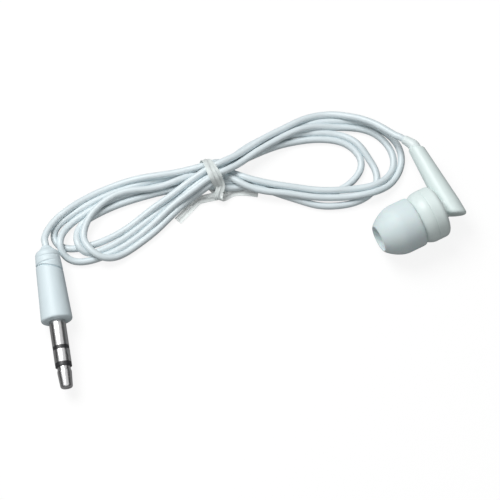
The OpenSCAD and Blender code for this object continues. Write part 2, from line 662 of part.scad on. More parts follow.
// the strip's shape: a band round the waist and two tails, w wide; skin takes that much off its inner side
module strip(w, skin) {
    depth = tie_t - skin;
    difference() {
        translate([band_x - w / 2, band_y[0], 0]) cube([w, band_y[1] - band_y[0], band_top]);
        translate([band_x - w, band_y[0] + depth, depth])
            cube([2 * w, band_y[1] - band_y[0] - 2 * depth, band_top - 2 * depth]);
    }
    tail(tail_long_y, tail_long_turn, tail_long_l, w, depth);
    tail(tail_short_y, tail_short_turn, tail_short_l, w, depth);
}

// the strip's two ends, crossed on edge beside the band
module twist() {
    for (turn = twist_turns) translate([band_x, twist_y, tie_t]) rotate(turn)
        translate([-tie_w / 2, -tie_t / 2, 0]) cube([tie_w, tie_t, twist_h]);
}

module tie_film() {
    color([0.95, 0.96, 0.96]) difference() {
        union() {
            strip(tie_w, 0);
            twist();
        }
        strip(tie_wire_w, tie_t / 2);
    }
}

module tie_wire() color([0.70, 0.71, 0.73]) strip(tie_wire_w, tie_t / 2);

ear_tip();
nozzle_mesh();
front_shell();
rear_shell();
strain_relief();
front_gasket();
driver_cover();
diaphragm_surround();
diaphragm_dome();
voice_coil();
top_plate();
magnet();
yoke();
driver_frame();
damping_ring();
terminal_board();
solder_joints();
signal_lead();
ground_lead();
cord_crimp();
cord_in_stem();
plug_grip();
plug_inner_mould();
plug_sleeve();
plug_ring();
plug_point();
sleeve_insulator();
point_insulator();
plug_solder();
plug_signal_wire();
plug_ground_wire();
cord_in_plug();
cord_lead_earpiece();
cord_hank();
cord_lead_plug();
tie_film();
tie_wire();
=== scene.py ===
import json
import math

import bmesh
import bpy
import numpy as np
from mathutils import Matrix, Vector


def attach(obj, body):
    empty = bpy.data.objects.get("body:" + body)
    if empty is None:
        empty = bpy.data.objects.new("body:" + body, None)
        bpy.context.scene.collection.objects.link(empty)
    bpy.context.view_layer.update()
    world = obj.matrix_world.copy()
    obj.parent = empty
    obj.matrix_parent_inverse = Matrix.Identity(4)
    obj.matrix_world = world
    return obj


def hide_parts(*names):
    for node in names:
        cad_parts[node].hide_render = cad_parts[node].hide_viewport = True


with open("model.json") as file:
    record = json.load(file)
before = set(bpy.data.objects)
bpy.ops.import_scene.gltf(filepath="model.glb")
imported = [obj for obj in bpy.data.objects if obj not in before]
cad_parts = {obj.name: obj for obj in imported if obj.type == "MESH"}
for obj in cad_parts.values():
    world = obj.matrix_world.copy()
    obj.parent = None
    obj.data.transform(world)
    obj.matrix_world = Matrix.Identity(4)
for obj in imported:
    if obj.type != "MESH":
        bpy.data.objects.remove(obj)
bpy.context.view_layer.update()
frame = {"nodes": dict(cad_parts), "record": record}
scene = bpy.context.scene
scene.view_settings.view_transform = "Standard"
mm = 0.001
print("frame loaded:", len(frame["nodes"]), "nodes")


# camera

cameraView = {"aim": (-33.92, 5.73, 0), "distance": 400, "elevation": 70, "turn": -27, "lens": 135.36}


def placeCamera(view):
    # looks at the aim point from the given distance, height angle and turn about the upright axis
    up = math.radians(view["elevation"])
    side = math.radians(view["turn"] - 90)
    way = Vector((math.cos(side) * math.cos(up), math.sin(side) * math.cos(up), math.sin(up)))
    camera = bpy.data.objects.new("camera", bpy.data.cameras.new("camera"))
    camera.data.lens = view["lens"]
    camera.data.sensor_width = 36
    camera.data.clip_start = 0.01
    camera.location = (Vector(view["aim"]) + way * view["distance"]) * mm
    camera.rotation_euler = (-way).to_track_quat("-Z", "Y").to_euler()
    scene.collection.objects.link(camera)
    scene.camera = camera


placeCamera(cameraView)


# where the CAD's parts stand, in millimetres

barrelMouth = np.array([-9.675, -6.231, 5.7])
stemFoot = np.array([7.225, -6.231, 5.7])
reliefLean = math.radians(30)
reliefWay = np.array([-math.sin(reliefLean), math.cos(reliefLean), 0])
reliefEnd = np.array([5.925, 11.457, 5.7])
plugFront = np.array([-77.4, 8.8, 3.3])
plugTurn = math.radians(-107)
plugWay = np.array([math.cos(plugTurn), math.sin(plugTurn), 0])
gripLong = 16.8
plugBack = plugFront - gripLong * plugWay
alongX = np.array([1.0, 0, 0])
alongY = np.array([0, 1.0, 0])
upward = np.array([0, 0, 1.0])


# cord: one line from the strain relief through the wound hank to the plug

cordLook = {
    "diameter": 1.5, "step": 1.0, "fineStep": 0.4,  # the steps of the settling and of the finished line
    "rounds": 400, "sink": 0.005, "pull": 0.03,  # how far it sinks and is drawn back in each round
    "pushes": 3, "bendings": 4, "spacings": 2,  # how often it is pushed apart, straightened and spaced
    "stiff": 0.25, "share": 0.25,  # how much of a bend, and of an overlap or a long step, one pass takes away
    "reach": 2.2, "searchEvery": 15,  # how far, in diameters, near stretches are looked for, and how often
    "fixed": (14, 11), "neighbours": 6,  # points held at the two ends, and points too close along it to meet
    "plugNeck": 1.4, "plugRoom": (1.5, 3.0),  # radius kept free beside the plug's neck and beside the rest
}
tieBand = {
    "x": -33.8, "low": 20.9, "high": 27.3, "floor": 0.42, "half": 1.0,  # the room inside the tie
    "stripReach": 2.2,  # how far from its middle a strip that lies under the cord still lifts it
    "strips": [((-34, 20), (-38.8, 20.8)), ((-38.8, 20.8), (-44.8, 18.5)), ((-31.3, 19.2), (-26.5, 16.6)),
        ((-32.9, 21.5), (-32.9, 26.5)), ((-34.7, 21.5), (-34.7, 26.5))],
}

earLead = [reliefEnd, reliefEnd + 0.4 * reliefWay, reliefEnd + 0.8 * reliefWay,
    (4.8, 13.4, 5.2), (3.7, 15.8, 4.6), (2.5, 18.2, 3.9), (0.8, 20.6, 3.2), (-1.1, 22.5, 2.6)]
plugLead = [(-64, 31, 1.6), (-66.5, 30.6, 1.6), (-69, 29.5, 1.9), (-71, 28, 2.5), (-72.2, 26.4, 3.1),
    plugBack - 0.8 * plugWay, plugBack - 0.4 * plugWay, plugBack]

# each pass of the hank ends at the tie: its points (x, y, height), then its place and height in the tie
hankPasses = [
    ([(-3.5, 24.5, 1.6), (-6.5, 26, 1.4), (-10, 26.5, 1.7), (-14.5, 26.5, 2.2), (-20, 26.5, 2.9),
        (-25, 25.5, 3.3), (-29.5, 25, 3.4)], 24.8, 3.55),
    ([(-38.5, 24.5, 3), (-42.5, 24, 2.3), (-46.5, 23, 1.8), (-52, 22, 1.2), (-57, 21.5, 1),
        (-62, 21.5, 0.8), (-66, 22, 0.8), (-68.5, 23.5, 0.9), (-69.5, 24.5, 0.9), (-70, 26, 0.9),
        (-70, 27.5, 0.9), (-69, 28.5, 0.9), (-67.5, 29.5, 0.9), (-65.5, 30, 0.9), (-62.5, 30, 0.9),
        (-58.5, 30, 0.9), (-54.5, 30, 0.9), (-50.5, 29.5, 0.9), (-46.5, 29, 0.8), (-42, 28, 0.8),
        (-38.5, 27, 1)], 26.0, 1.17),
    ([(-31, 23, 1.4), (-28.5, 20, 1.8), (-26, 18.5, 2.1), (-23.5, 16.5, 2.1), (-21, 14.5, 2.1),
        (-18.5, 13, 2.1), (-16, 11, 2.1), (-13.5, 9.5, 2.1), (-11, 8.5, 2.2), (-8, 7.5, 2.2),
        (-5.5, 6.5, 2.2), (-3.5, 6, 2), (-1, 6, 1.6), (1, 7, 1.1), (2.5, 8.5, 1), (3, 10.5, 1),
        (3.5, 12.5, 1), (3, 15, 1), (2, 18, 1), (0, 20, 1), (-2.5, 22, 1), (-5.5, 23, 1.1), (-8, 24, 1.5),
        (-11, 24.5, 2), (-15, 25, 2.5), (-20, 24.5, 2.9), (-25, 24, 3.1), (-29.5, 23, 3.2)], 23.2, 3.55),
    ([(-38.5, 23, 2.7), (-42.5, 22, 2.2), (-46.5, 21, 1.6), (-52, 19.5, 1.1), (-56, 18.5, 1), (-60, 18, 1),
        (-64, 18.5, 0.9), (-68.5, 20, 0.8), (-69.5, 21.5, 1), (-70, 23, 1.6), (-69.5, 24.5, 2.1),
        (-68.5, 26, 1.6), (-67.5, 27, 1), (-65.5, 28, 0.9), (-64, 28.5, 0.9), (-61, 29, 0.9),
        (-58.5, 29.5, 0.8), (-55.5, 29.5, 0.8), (-51.5, 29, 0.8), (-47, 28, 0.8), (-43, 27, 0.8),
        (-39.5, 25.5, 1)], 23.0, 1.17),
    ([(-28, 20.5, 0.8), (-25.5, 19, 0.8), (-23.5, 17, 0.8), (-21, 14.5, 0.8), (-19, 12.5, 0.8),
        (-17, 11, 0.8), (-14.5, 9.5, 0.8), (-12, 9, 0.8), (-10, 9, 0.8), (-7.5, 9.5, 0.8),
        (-5.5, 10.5, 0.8), (-4, 11.5, 0.8), (-3, 13, 0.8), (-3, 15, 0.8), (-3.5, 17, 0.8), (-5, 18.5, 0.8),
        (-7, 20.5, 0.8), (-10, 22, 0.8), (-13.5, 23, 0.8), (-17, 24, 1.3), (-21, 24.5, 1.7),
        (-25, 24.5, 1.9), (-29.5, 24, 2)], 22.4, 2.4),
    ([(-38.5, 22, 1.2), (-42.5, 21, 0.9), (-46.5, 20, 0.8), (-50, 18.5, 0.8), (-53, 18, 1),
        (-56.5, 17.5, 1), (-59, 17, 1), (-63.5, 18.5, 1.6), (-64.5, 20, 2.3), (-65, 21.5, 2.3),
        (-65, 23.5, 1.6), (-64, 25, 1.1), (-63, 26.5, 1), (-61.5, 27.5, 1), (-59.5, 28, 1),
        (-57.5, 29, 1.2), (-55, 29, 1.6), (-51.5, 29, 2), (-48, 27.5, 2.1), (-44, 26.5, 2.1),
        (-40, 26, 1.9)], 24.5, 1.17),
    ([(-29, 19, 2), (-26.5, 17, 2.1), (-24.5, 15, 2.1), (-22, 13.5, 2.1), (-19.5, 11.5, 2.1),
        (-17, 10, 2.1), (-14.5, 8.5, 2.1), (-11.5, 7, 2.1), (-9, 6, 2.1), (-6, 5, 2.2), (-3, 5, 2),
        (-0.5, 5.5, 1.5), (2.5, 7, 1), (4, 8, 1), (5, 10, 1), (5.5, 12.5, 1), (5, 15, 1), (4, 17, 1),
        (2.5, 19, 1), (0.5, 20.5, 1.1), (-2.5, 22, 1.3), (-6, 24.5, 1.2), (-10, 26, 0.9), (-15, 26.5, 1),
        (-20, 26.5, 1.5), (-25, 26, 1.9), (-29.5, 25, 2.1)], 24.0, 2.4),
    ([(-38.5, 23.5, 1.5), (-42.5, 23, 1), (-46.5, 22.5, 0.8), (-51, 21, 0.9), (-55, 20, 1),
        (-58.5, 19.5, 1), (-62, 19.5, 0.8), (-64, 20, 0.8), (-65, 20.5, 1.3), (-66, 22, 2),
        (-65.5, 23.5, 1.7), (-65, 25, 1.1), (-64, 26.5, 0.8), (-62.5, 27, 0.8), (-60.5, 27.5, 0.8),
        (-59, 28, 0.8), (-56.5, 28, 0.8), (-53.5, 28, 0.8), (-50, 27, 0.8), (-46.5, 26.5, 0.8),
        (-43, 25.5, 0.8), (-39.5, 24, 1)], 21.5, 1.17),
    ([(-29, 20.5, 0.8), (-27.5, 19, 0.8), (-25.5, 17, 0.8), (-23.5, 14.5, 0.8), (-21, 12.5, 0.8),
        (-18.5, 10, 0.8), (-17, 8, 0.8), (-15, 7, 0.8), (-12.5, 6, 0.8), (-10, 5, 0.8), (-7, 5, 0.8),
        (-5, 5, 0.8), (-3, 6.5, 0.8), (-2, 8, 0.8), (-1.5, 10, 0.8), (-2, 12, 0.9), (-2.5, 13.5, 1.3),
        (-2.5, 15.5, 1.7), (-3, 17.5, 1.5), (-4, 19.5, 1.1), (-6.5, 21.5, 0.9), (-9, 23, 0.8),
        (-13, 25, 0.8), (-17, 25.5, 0.8), (-21, 25.5, 0.8), (-25, 25.5, 0.8),
        (-29.5, 24.5, 0.8)], 25.7, 2.4),
]
lastPass = [(-37.5, 27, 2.4), (-42.5, 28.5, 2.1), (-46, 29.5, 1.7), (-49.5, 30.5, 1.4), (-53, 31, 1),
    (-56.5, 31, 1), (-60, 31.5, 1)]


def curveThrough(points, step):
    # a smooth curve through the points: a cubic between each two, whose way at each point is that from the
    # point before to the point after, sampled again at even steps of its length
    p = np.asarray(points, float)
    p = np.vstack([2 * p[0] - p[1], p, 2 * p[-1] - p[-2]])
    a, b, c, d = (p[k:len(p) - 3 + k, None] for k in range(4))
    t = np.linspace(0, 1, 16, endpoint=False)[None, :, None]
    fine = 0.5 * (2 * b + (c - a) * t + (2 * a - 5 * b + 4 * c - d) * t ** 2
        + (3 * b - a - 3 * c + d) * t ** 3)
    fine = np.vstack([fine.reshape(-1, p.shape[1]), p[-2]])
    length = np.r_[0, np.cumsum(np.linalg.norm(np.diff(fine[:, :3], axis=0), axis=1))]
    at = np.linspace(0, length[-1], int(round(length[-1] / step)) + 1)
    return np.stack([np.interp(at, length, fine[:, k]) for k in range(p.shape[1])], 1)


def settleCord(drawn, look, band):
    # each round lets the line sink a little, pushes apart stretches closer than a diameter, keeps it above
    # the floor and the tie's strips, inside the tie and off the plug, draws it back to the drawn way, and
    # evens its bends and steps; its ends stay where they leave the relief and enter the plug
    wide = look["diameter"]
    radius = wide / 2
    home = drawn.copy()
    line = drawn.copy()
    count = len(line)
    free = np.ones((count, 1))
    fixedStart, fixedEnd = look["fixed"]
    free[:fixedStart] = 0
    free[-fixedEnd:] = 0
    first, second = np.triu_indices(count, look["neighbours"])
    held = np.abs(home[:, 0] - band["x"]) < band["half"]
    ground = np.full(count, radius)
    for start, end in np.array(band["strips"]):
        along = np.clip((home[:, :2] - start) @ (end - start) / ((end - start) ** 2).sum(), 0, 1)
        away = np.linalg.norm(home[:, :2] - start - along[:, None] * (end - start), axis=1)
        ground = np.maximum(ground, radius + band["floor"] * np.clip(band["stripReach"] - away, 0, 1))
    for turn in range(look["rounds"]):
        if turn % look["searchEvery"] == 0:
            near = ((line[first] - line[second]) ** 2).sum(1) < (look["reach"] * wide) ** 2
            a, b = first[near], second[near]
        line[:, 2] -= look["sink"] * free[:, 0]
        for _ in range(look["pushes"]):
            gap = line[a] - line[b]
            size = np.linalg.norm(gap, axis=1)
            hit = size < wide
            amount = (look["share"] * (wide - size[hit]))[:, None]
            push = gap[hit] / np.maximum(size[hit], 1e-6)[:, None] * amount
            move = np.zeros_like(line)
            met = np.zeros(count)
            np.add.at(move, a[hit], push)
            np.add.at(move, b[hit], -push)
            np.add.at(met, a[hit], 1)
            np.add.at(met, b[hit], 1)
            line += move / np.maximum(met / 2, 1)[:, None] * free
            line[:, 2] = np.maximum(line[:, 2], ground)
            line[held, 1] = np.clip(line[held, 1], band["low"] + radius, band["high"] - radius)
            line[held, 2] = np.maximum(line[held, 2], band["floor"] + radius)
        offset = line - plugBack
        down = np.clip(offset @ plugWay, 0, gripLong)
        out = offset - down[:, None] * plugWay
        size = np.linalg.norm(out, axis=1)
        room = np.where(down < look["plugNeck"], *look["plugRoom"]) + radius
        line += out / np.maximum(size, 1e-6)[:, None] * np.maximum(room - size, 0)[:, None] * free
        line += look["pull"] * (1 - 0.5 * turn / look["rounds"]) * (home - line) * free
        for _ in range(look["bendings"]):
            bend = np.zeros_like(line)
            bend[1:-1] = 0.5 * (line[:-2] + line[2:]) - line[1:-1]
            change = np.zeros_like(line)
            change[1:-1] = 0.5 * (bend[:-2] + bend[2:]) - bend[1:-1]
            line -= look["stiff"] * change * free
        for _ in range(look["spacings"]):
            gap = np.diff(line, axis=0)
            size = np.linalg.norm(gap, axis=1)
            slide = gap / size[:, None] * ((size - size.mean()) * look["share"])[:, None]
            line[:-1] += slide * free[:-1]
            line[1:] -= slide * free[1:]
    return line


def drawCord(look, band):
    # one open line through the relief's end, each pass of the hank and the plug's back
    route = list(earLead)
    for points, across, height in hankPasses:
        route += points + [(band["x"], across, height)]
    route += lastPass + plugLead
    line = settleCord(curveThrough(route, look["step"]), look, band)
    fine = curveThrough(line, look["fineStep"])
    curve = bpy.data.curves.new("cord", "CURVE")
    curve.dimensions = "3D"
    curve.bevel_depth = look["diameter"] / 2 * mm
    curve.bevel_resolution = 6
    curve.use_fill_caps = True
    spline = curve.splines.new("POLY")
    spline.points.add(len(fine) - 1)
    spline.points.foreach_set("co", np.c_[fine * mm, np.ones(len(fine))].ravel())
    spline.use_smooth = True
    cord = bpy.data.objects.new("cord", curve)
    scene.collection.objects.link(cord)
    length = np.linalg.norm(np.diff(fine, axis=0), axis=1).sum() * mm
    return cord, float(length)


cord, cordLength = drawCord(cordLook, tieBand)
print("cord settled:", round(cordLength, 3), "m")


# meshes from grids and profiles

def makeMesh(name, points, quads, sharp=35):
    # a mesh piece from points in millimetres and four-cornered faces
    mesh = bpy.data.meshes.new(name)
    mesh.vertices.add(len(points))
    mesh.vertices.foreach_set("co", (np.asarray(points) * mm).ravel())
    mesh.loops.add(quads.size)
    mesh.loops.foreach_set("vertex_index", quads.ravel())
    mesh.polygons.add(len(quads))
    mesh.polygons.foreach_set("loop_start", np.arange(0, quads.size, 4))
    mesh.update(calc_edges=True)
    piece = bpy.data.objects.new(name, mesh)
    scene.collection.objects.link(piece)
    cleanMesh(mesh, sharp)
    return piece


def cleanMesh(mesh, sharp):
    # doubled points merge, faces turn outwards, and edges sharper than the angle stay crisp
    work = bmesh.new()
    work.from_mesh(mesh)
    bmesh.ops.remove_doubles(work, verts=work.verts, dist=1e-7)
    bmesh.ops.dissolve_degenerate(work, edges=work.edges, dist=1e-8)
    bmesh.ops.recalc_face_normals(work, faces=work.faces)
    work.to_mesh(mesh)
    work.free()
    mesh.polygons.foreach_set("use_smooth", np.ones(len(mesh.polygons), bool))
    mesh.set_sharp_from_angle(angle=math.radians(sharp))


def gridQuads(rows, cols, closeRows, closeCols):
    # each face joins a point of the grid to the next column and the next row, round to the first if closed
    r = np.arange(rows if closeRows else rows - 1)[:, None]
    c = np.arange(cols if closeCols else cols - 1)[None, :]
    r2, c2 = (r + 1) % rows, (c + 1) % cols
    return np.stack([r * cols + c, r * cols + c2, r2 * cols + c2, r2 * cols + c], -1).reshape(-1, 4)


def soften(profile, radius, steps=5):
    # each corner of a closed profile becomes a square curve that starts and ends up to the radius from it
    p = np.asarray(profile, float)
    before, after = np.roll(p, 1, 0) - p, np.roll(p, -1, 0) - p
    lengthBefore, lengthAfter = np.linalg.norm(before, axis=1), np.linalg.norm(after, axis=1)
    cut = np.minimum(radius, 0.45 * np.minimum(lengthBefore, lengthAfter))
    a = p + before / lengthBefore[:, None] * cut[:, None]
    b = p + after / lengthAfter[:, None] * cut[:, None]
    t = np.linspace(0, 1, steps)[None, :, None]
    return ((1 - t) ** 2 * a[:, None] + 2 * t * (1 - t) * p[:, None] + t ** 2 * b[:, None]).reshape(-1, 2)


def sideways(way):
    # two directions square to a way: the cross product of upward, or of the x axis if the way is steep, with
    # it, and its own with that one
    side = np.cross(upward if abs(way[2]) < 0.9 else alongX, way)
    side /= np.linalg.norm(side)
    return side, np.cross(way, side)


def turned(name, profile, origin, way, cols, closed=True, sharp=35, dent=None):
    # a profile of (distance, radius) turned about an axis: a point is the origin plus distance times way plus
    # radius times a spoke that goes round; dent(distance, angle) is taken off the radius
    p = np.asarray(profile, float)
    side, up = sideways(way)
    a = np.linspace(0, 2 * np.pi, cols, endpoint=False)
    spoke = np.cos(a)[:, None] * side + np.sin(a)[:, None] * up
    radius = np.repeat(p[:, 1:], cols, 1)
    if dent:
        radius = radius - dent(p[:, :1], a[None, :])
    points = origin + p[:, 0, None, None] * way + radius[..., None] * spoke
    return makeMesh(name, points.reshape(-1, 3), gridQuads(len(p), cols, closed, True), sharp)


def alongPath(path):
    # the unit way of a path at each point: the step from the point before to the one after, over its length
    way = np.gradient(path, axis=0)
    return way / np.linalg.norm(way, axis=1)[:, None]


def sweptWall(name, path, outer, inner, cols, sharp):
    # a round wall along a path: rings of the outer radii go out and rings of the inner radii come back, and a
    # ring's points are the path's plus radius times a spoke square to the way
    way = alongPath(path)
    side = np.cross(upward, way)
    side /= np.linalg.norm(side, axis=1)[:, None]
    up = np.cross(way, side)
    a = np.linspace(0, 2 * np.pi, cols, endpoint=False)[None, :, None]
    spoke = np.cos(a) * side[:, None] + np.sin(a) * up[:, None]
    out = path[:, None] + outer[:, None, None] * spoke
    back = (path[:, None] + inner[:, None, None] * spoke)[::-1]
    points = np.concatenate([out, back])
    return makeMesh(name, points.reshape(-1, 3), gridQuads(len(points), cols, True, True), sharp)


def ribbon(name, path, across, outline):
    # a flat outline of (distance across, height) carried along a path: a point is the path's plus distance
    # times the width direction, which is across less its part along the way, plus height times their cross
    way = alongPath(path)
    wide = across - (across * way).sum(1)[:, None] * way
    wide /= np.linalg.norm(wide, axis=1)[:, None]
    high = np.cross(way, wide)
    o = np.asarray(outline, float)
    points = path[:, None] + o[None, :, 0, None] * wide[:, None] + o[None, :, 1, None] * high[:, None]
    count, cols = points.shape[:2]
    ends = np.stack([points[0].mean(0), points[-1].mean(0)])[:, None].repeat(cols, 1)
    points = np.concatenate([ends[:1], points, ends[1:]])
    return makeMesh(name, points.reshape(-1, 3), gridQuads(count + 2, cols, False, True), 40)


def stepped(bores):
    # a profile of straight bores: each runs at its radius from its start to the next one's
    profile = [(bores[0][0], 0)]
    for (start, radius), (end, _) in zip(bores, bores[1:]):
        profile += [(start, radius), (end, radius)]
    return profile + [(bores[-1][0], 0)]


def applyModifiers(piece):
    # the piece's modifiers are worked into its mesh
    mesh = bpy.data.meshes.new_from_object(piece.evaluated_get(bpy.context.evaluated_depsgraph_get()))
    mesh.polygons.foreach_set("use_smooth", np.ones(len(mesh.polygons), bool))
    piece.modifiers.clear()
    old = piece.data
    piece.data = mesh
    bpy.data.meshes.remove(old)
    mesh.name = piece.name


def carve(base, adds, cuts, voxel, rounding):
    # joins the adds to the base, takes the cuts away, then evens the mesh and rounds all edges a little
    for other, way in [(o, "UNION") for o in adds] + [(o, "DIFFERENCE") for o in cuts]:
        step = base.modifiers.new(way, "BOOLEAN")
        step.operation = way
        step.solver = "EXACT"
        step.object = other
    even = base.modifiers.new("even", "REMESH")
    even.mode = "VOXEL"
    even.voxel_size = voxel * mm
    smooth = base.modifiers.new("smooth", "SMOOTH")
    smooth.factor = 0.5
    smooth.iterations = rounding
    applyModifiers(base)
    for other in adds + cuts:
        bpy.data.objects.remove(other)
    return base


# silicone tip

tipSize = {"across": 10.9, "long": 8.8, "mouth": 5.4, "nose": 5.2, "dome": 0.8, "wall": 0.5,
    "core": (2.2, 2.7, 7.2), "web": 1.6}  # the core's inner and outer radius and its end


def noseRadius(s, size):
    # from the mouth's edge to the full width, a quarter sine raised to the dome's power
    start = size["mouth"] / 2 + 0.2
    grow = np.sin(np.pi / 2 * np.minimum(s / size["nose"], 1)) ** size["dome"]
    return start + (size["across"] / 2 - start) * grow


def drawTip(size):
    # the nose, the skirt's rim, the nose again a wall further in, and the core tube back to the mouth
    s = size["nose"] * np.linspace(0, 1, 44) ** 1.6
    inside = np.linspace(size["nose"], size["web"] + 0.4, 24)
    full, wall, long, web = size["across"] / 2, size["wall"], size["long"], size["web"]
    mouth = size["mouth"] / 2
    inner, outer, end = size["core"]
    rim = [(long - 0.75, full), (long - 0.35, full - 0.03), (long - 0.08, full - 0.14), (long, full - 0.28),
        (long - 0.05, full - 0.42), (long - 0.3, full - wall)]
    core = [(web + 0.06, outer + 0.45), (web + 0.1, outer + 0.2), (web + 0.35, outer), (end - 0.1, outer),
        (end, outer - 0.1), (end, inner + 0.1), (end - 0.1, inner), (2.2, inner), (2.0, inner + 0.05),
        (1.2, inner + 0.2), (0.35, mouth - 0.06), (0.14, mouth), (0.02, mouth + 0.09)]
    dome = np.c_[s, noseRadius(s, size)]
    lining = np.c_[inside, noseRadius(inside, size) - wall]
    profile = np.vstack([dome, rim, lining, core])
    return turned("earTip", profile, barrelMouth, alongX, 128, sharp=60)


earTip = drawTip(tipSize)


# housing

shellSize = {"across": 11.4, "shoulder": 7.4, "waist": 4.75, "swell": 8.9, "seam": 11.6, "back": 14.5,
    "edge": 1.1, "bevel": 0.07, "spigot": 5.15, "pocket": 4.65, "nozzle": 1.95, "lip": 2.15, "bore": 1.5,
    "mesh": 1.75, "room": (9.5, 13.8),  # where the driver's room starts and ends
    "funnel": (8.2, 3.9),  # where the sound's funnel starts, and its radius at the room
    "neck": (16.9, 2.2), "window": (13.1, 16.47, 0.9),  # ends along the barrel, then the radius
    "voxel": 0.11, "rounding": 4}


def drawFrontShell(size):
    # nozzle with its lip, shoulder, a swell that grows by a quarter sine, seam, spigot, and the bores inside
    radius, start, seam, bevel = size["across"] / 2, size["swell"], size["seam"], size["bevel"]
    lip, neck, bore, mesh, shoulder = (size[k] for k in ("lip", "nozzle", "bore", "mesh", "shoulder"))
    spigot, pocket, waist, room = size["spigot"], size["pocket"], size["waist"], size["room"][0]
    funnel, mouth = size["funnel"]
    t = np.linspace(0, 1, 20)
    grow = np.sin(np.pi / 2 * t) ** 0.8
    swell = np.c_[start + (seam - 0.4 - start) * t, waist + (radius - waist) * grow]
    nose = [(2.3, mesh), (2.3, lip - 0.1), (2.36, lip - 0.03), (2.5, lip), (3.24, lip), (3.34, lip - 0.05),
        (3.5, neck), (shoulder - 0.08, neck), (shoulder, neck + 0.08), (shoulder, waist - 0.4),
        (shoulder + 0.1, waist - 0.15), (shoulder + 0.35, waist)]
    rest = [(seam - bevel, radius), (seam, radius - bevel), (seam, spigot), (seam + 0.95, spigot),
        (seam + 1.0, spigot - 0.05), (seam + 1.0, pocket), (room, pocket), (room, mouth), (funnel, bore),
        (2.43, bore), (2.43, mesh)]
    return turned("frontShell", np.vstack([nose, swell, rest]), barrelMouth, alongX, 128, sharp=40)


stemSize = {"across": 4.9, "top": 3.3, "up": 14.6, "down": 2.5, "slant": 18, "footSlant": 25, "lean": 11,
    "roundFoot": 0.75, "roundTop": 0.4,
    "bores": [(-1.21, 1.5), (5.2, 0.78), (12.6, 1.16), (17, 0)]}  # where each starts and its radius


def drawStem(size):
    # a tapered round bar with rims rounded by quarter circles; a point is its ring's place less radius times
    # slant times the angle's cosine, found in three rounds because the radius follows the taper; both ends
    # are cut on the slant, and the foot also leans under
    slant, footSlant, lean = (math.tan(math.radians(size[k])) for k in ("slant", "footSlant", "lean"))
    turnIn = np.linspace(0, np.pi / 2, 9)
    foot, top = size["roundFoot"], size["roundTop"]
    closed = 9  # taken off the radius, this brings an end's ring to a point
    t = np.r_[-size["down"], -size["down"] + foot * (1 - np.cos(turnIn)), np.linspace(-1.5, 13.8, 30),
        size["up"] - top * (1 - np.sin(turnIn)), size["up"]]
    less = np.r_[closed, foot * (1 - np.sin(turnIn)), np.zeros(30), top * (1 - np.cos(turnIn)), closed]
    a = np.linspace(0, 2 * np.pi, 96, endpoint=False)
    near = np.clip(-t / size["down"], 0, 1)[:, None]
    cut = (slant + (footSlant - slant) * near) * np.cos(a) + lean * near * np.sin(a)
    y = np.repeat(t[:, None], 96, 1)
    for _ in range(3):
        full = np.interp(y, [0, size["up"]], [size["across"] / 2, size["top"] / 2])
        radius = np.maximum(full - less[:, None], 0)
        y = t[:, None] - radius * cut
    points = stemFoot + np.stack([radius * np.cos(a), y, radius * np.sin(a)], -1)
    return makeMesh("stem", points.reshape(-1, 3), gridQuads(len(t), 96, False, True))


def drawRearShell(size):
    # a drum whose edge is a quarter circle, joined to the neck and the stem; the driver's room, the pocket in
    # the stem and the window between them are taken out
    radius, seam, back, edge = size["across"] / 2, size["seam"], size["back"], size["edge"]
    bevel = size["bevel"]
    a = np.linspace(0, np.pi / 2, 12)
    corner = np.c_[back - edge + edge * np.sin(a), radius - edge + edge * np.cos(a)]
    drum = np.vstack([[(seam, 0), (seam, radius - bevel), (seam + bevel, radius)], corner, [(back, 0)]])
    body = turned("rearShell", drum, barrelMouth, alongX, 128, False)
    end, thick = size["neck"]
    neck = turned("neck", stepped([(back - 0.5, thick), (end, 0)]), barrelMouth, alongX, 48, False)
    bores = [(seam - 1, size["spigot"] + 0.01), (seam + 1.02, size["pocket"]), (size["room"][1], 0)]
    room = turned("room", stepped(bores), barrelMouth, alongX, 96, False)
    # the window stands a hair off the axis, so that none of its edges meets one of the room's or the pocket's
    start, end, wide = size["window"]
    window = turned("window", stepped([(start, wide), (end, 0)]), barrelMouth + [0, 0.03, 0.02], alongX, 29,
        False)
    pocket = turned("pocket", stepped(stemSize["bores"]), stemFoot, alongY, 48, False)
    return carve(body, [drawStem(stemSize), neck], [window, pocket, room], size["voxel"], size["rounding"])


frontShell = drawFrontShell(shellSize)
rearShell = drawRearShell(shellSize)


# strain relief

reliefSize = {"across": 2.3, "end": 1.9, "bore": 1.56, "root": 12.6, "long": 2.6, "bend": 1.0,
    "knuckle": (0.08, 0.9), "rim": (0.09, 0.07)}  # how high and how wide the swelling and the round rim are


def drawRelief(size):
    # straight out of the stem, round the elbow by a square curve and on to its thinner end; a bell curve
    # swells it a little at the elbow, and an exponential rounds its rim
    elbow = reliefEnd - size["long"] * reliefWay
    foot = np.array([elbow[0], stemFoot[1] + size["root"], elbow[2]])
    bend = size["bend"]
    a, b = elbow - bend * alongY, elbow + bend * reliefWay
    t = np.linspace(0, 1, 16)[:, None]
    elbowCurve = (1 - t) ** 2 * a + 2 * t * (1 - t) * elbow + t ** 2 * b
    path = np.vstack([np.linspace(foot, a, 8)[:-1], elbowCurve, np.linspace(b, reliefEnd, 18)[1:]])
    run = np.r_[0, np.cumsum(np.linalg.norm(np.diff(path, axis=0), axis=1))]
    knee = run[7 + 8]  # half way round the elbow
    outer = np.interp(run, [0, knee, run[-1]], [size["across"] / 2, size["across"] / 2, size["end"] / 2])
    high, wide = size["knuckle"]
    outer = outer + high * np.exp(-((run - knee) / wide) ** 2)
    high, wide = size["rim"]
    outer = outer - high * np.exp(-(run[-1] - run) / wide)
    return sweptWall("strainRelief", path, outer, np.full(len(path), size["bore"] / 2), 48, 50)


strainRelief = drawRelief(reliefSize)
print("earpiece drawn")


# plug

